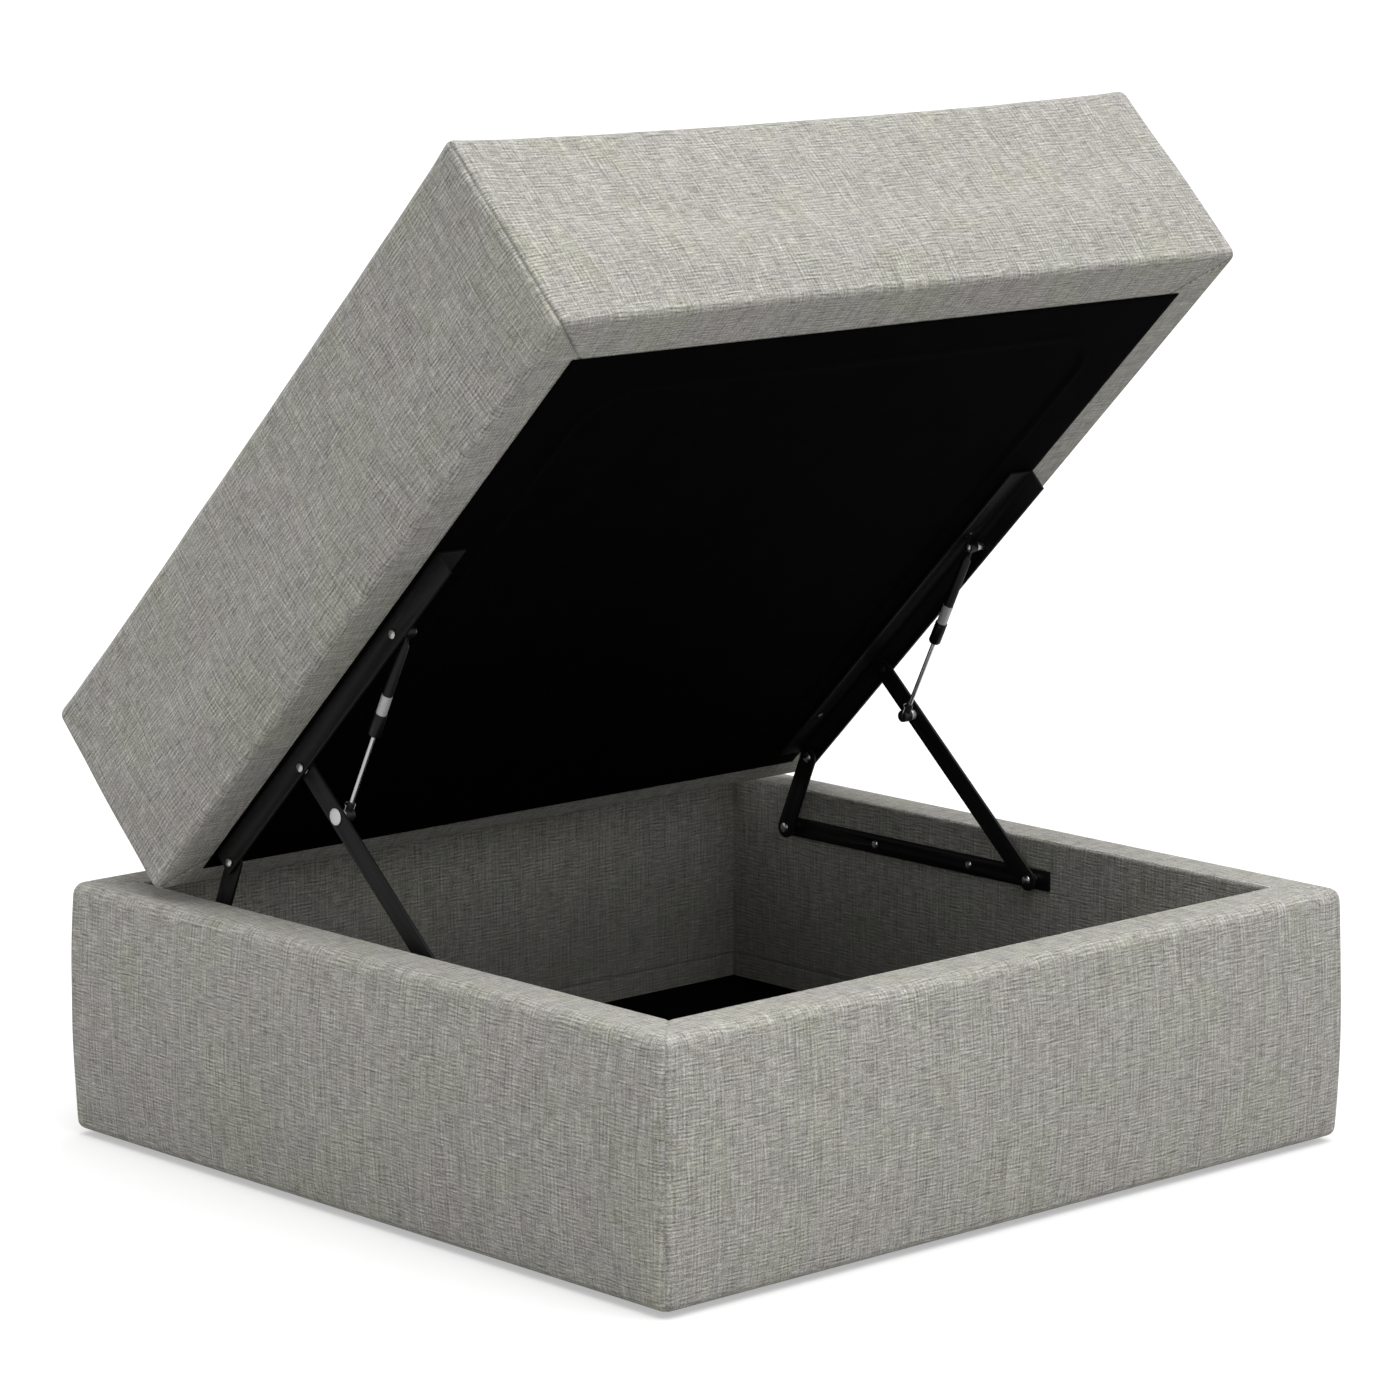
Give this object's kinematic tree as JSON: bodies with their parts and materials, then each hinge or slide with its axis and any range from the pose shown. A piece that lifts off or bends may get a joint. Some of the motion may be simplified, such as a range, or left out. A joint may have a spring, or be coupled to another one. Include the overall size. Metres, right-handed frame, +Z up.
{
  "type": "storage ottoman",
  "caption": "Square upholstered storage ottoman, open box base with a thick padded lid raised on twin four-bar steel hinges with gas struts.",
  "frame": {"origin": "on the floor, in the middle of the footprint that the ottoman covers with its lid open", "axes": "+Z up, +X to the right when facing the front, the front faces -Y and the hinge side faces +Y"},
  "size_m": [0.88, 0.8755, 0.9946],
  "materials": {
    "linen": "matte",
    "foam": "matte",
    "wood": "matte",
    "black_cloth": "matte",
    "black_steel": "satin",
    "zinc": "satin",
    "strut": "satin",
    "chrome": "polished",
    "plastic": "matte"
  },
  "bodies": {
    "base": {"base_cover": "linen", "base_padding": "foam", "base_front_board": "wood", "base_back_board": "wood", "base_left_board": "wood", "base_right_board": "wood", "base_bottom_board": "wood", "storage_floor": "black_cloth", "base_dust_cloth": "black_cloth", "foot_front_left": "plastic", "foot_front_right": "plastic", "foot_back_left": "plastic", "foot_back_right": "plastic", "left_base_rail": "black_steel", "left_base_rivet_front": "black_steel", "left_base_rivet_rear": "black_steel", "left_base_screw_front": "zinc", "left_base_screw_rear": "zinc", "right_base_rail": "black_steel", "right_base_rivet_front": "black_steel", "right_base_rivet_rear": "black_steel", "right_base_screw_front": "zinc", "right_base_screw_rear": "zinc"},
    "left_short_arm": {"left_short_arm": "black_steel"},
    "right_short_arm": {"right_short_arm": "black_steel"},
    "lid": {"lid_cover": "linen", "lid_foam": "foam", "lid_deck": "wood", "lid_frame_front": "wood", "lid_frame_back": "wood", "lid_frame_left": "wood", "lid_frame_right": "wood", "lid_bottom_board": "wood", "lid_dust_cloth": "black_cloth", "left_lid_rail": "black_steel", "left_lid_rivet_rear": "zinc", "left_lid_rivet_middle": "zinc", "left_strut_upper_stud": "zinc", "left_lid_screw_rear": "zinc", "left_lid_screw_front": "zinc", "right_lid_rail": "black_steel", "right_lid_rivet_rear": "zinc", "right_lid_rivet_middle": "zinc", "right_strut_upper_stud": "zinc", "right_lid_screw_rear": "zinc", "right_lid_screw_front": "zinc"},
    "left_long_arm": {"left_long_arm": "black_steel", "left_long_arm_rivet": "black_steel", "left_strut_lower_stud": "zinc"},
    "left_strut_cylinder": {"left_strut_cylinder": "strut"},
    "left_strut_rod": {"left_strut_rod": "chrome"},
    "right_long_arm": {"right_long_arm": "black_steel", "right_long_arm_rivet": "black_steel", "right_strut_lower_stud": "zinc"},
    "right_strut_cylinder": {"right_strut_cylinder": "strut"},
    "right_strut_rod": {"right_strut_rod": "chrome"}
  },
  "joints": [
    {"name": "left_short_arm_pivot", "type": "hinge", "parent": "base", "child": "left_short_arm", "pos_m": [-0.3765, 0.26575, 0.2095], "axis": [-1, 0, 0], "range_deg": [0, 93.8]},
    {"name": "lid_pivot", "type": "hinge", "parent": "left_short_arm", "child": "lid", "pos_m": [-0.3765, 0.23242, 0.28885], "axis": [1, 0, 0], "range_deg": [0, 138.82]},
    {"name": "right_short_arm_pivot", "type": "hinge", "parent": "base", "child": "right_short_arm", "pos_m": [0.3765, 0.26575, 0.2095], "axis": [-1, 0, 0], "range_deg": [0, 93.82]},
    {"name": "left_long_arm_pivot", "type": "hinge", "parent": "base", "child": "left_long_arm", "pos_m": [-0.3765, -0.08439, 0.2095], "axis": [-1, 0, 0], "range_deg": [0, 36.67]},
    {"name": "left_strut_pivot", "type": "hinge", "parent": "lid", "child": "left_strut_cylinder", "pos_m": [-0.364, -0.01351, 0.53974], "axis": [1, 0, 0], "range_deg": [0, 14.14]},
    {"name": "left_rod_slide", "type": "slide", "parent": "left_strut_cylinder", "child": "left_strut_rod", "axis": [0, -0.4448, 0.8956], "range_m": [0, 0.0675]},
    {"name": "right_long_arm_pivot", "type": "hinge", "parent": "base", "child": "right_long_arm", "pos_m": [0.3765, -0.08439, 0.2095], "axis": [-1, 0, 0], "range_deg": [0, 36.67]},
    {"name": "right_strut_pivot", "type": "hinge", "parent": "lid", "child": "right_strut_cylinder", "pos_m": [0.364, -0.01351, 0.53974], "axis": [1, 0, 0], "range_deg": [0, 14.14]},
    {"name": "right_rod_slide", "type": "slide", "parent": "right_strut_cylinder", "child": "right_strut_rod", "axis": [0, -0.4448, 0.8956], "range_m": [0, 0.0675]}
  ],
  "couplings": [
    {"joint": "lid_pivot", "follows": "left_short_arm_pivot", "ratio": 1.4798},
    {"joint": "right_short_arm_pivot", "follows": "left_short_arm_pivot", "ratio": 1},
    {"joint": "left_long_arm_pivot", "follows": "left_short_arm_pivot", "ratio": 0.39075},
    {"joint": "left_strut_pivot", "follows": "left_short_arm_pivot", "ratio": 0.1505},
    {"joint": "left_rod_slide", "follows": "left_short_arm_pivot", "m_per_rad": 0.041194},
    {"joint": "right_long_arm_pivot", "follows": "left_short_arm_pivot", "ratio": 0.39075},
    {"joint": "right_strut_pivot", "follows": "left_short_arm_pivot", "ratio": 0.1505},
    {"joint": "right_rod_slide", "follows": "left_short_arm_pivot", "m_per_rad": 0.041194}
  ]
}
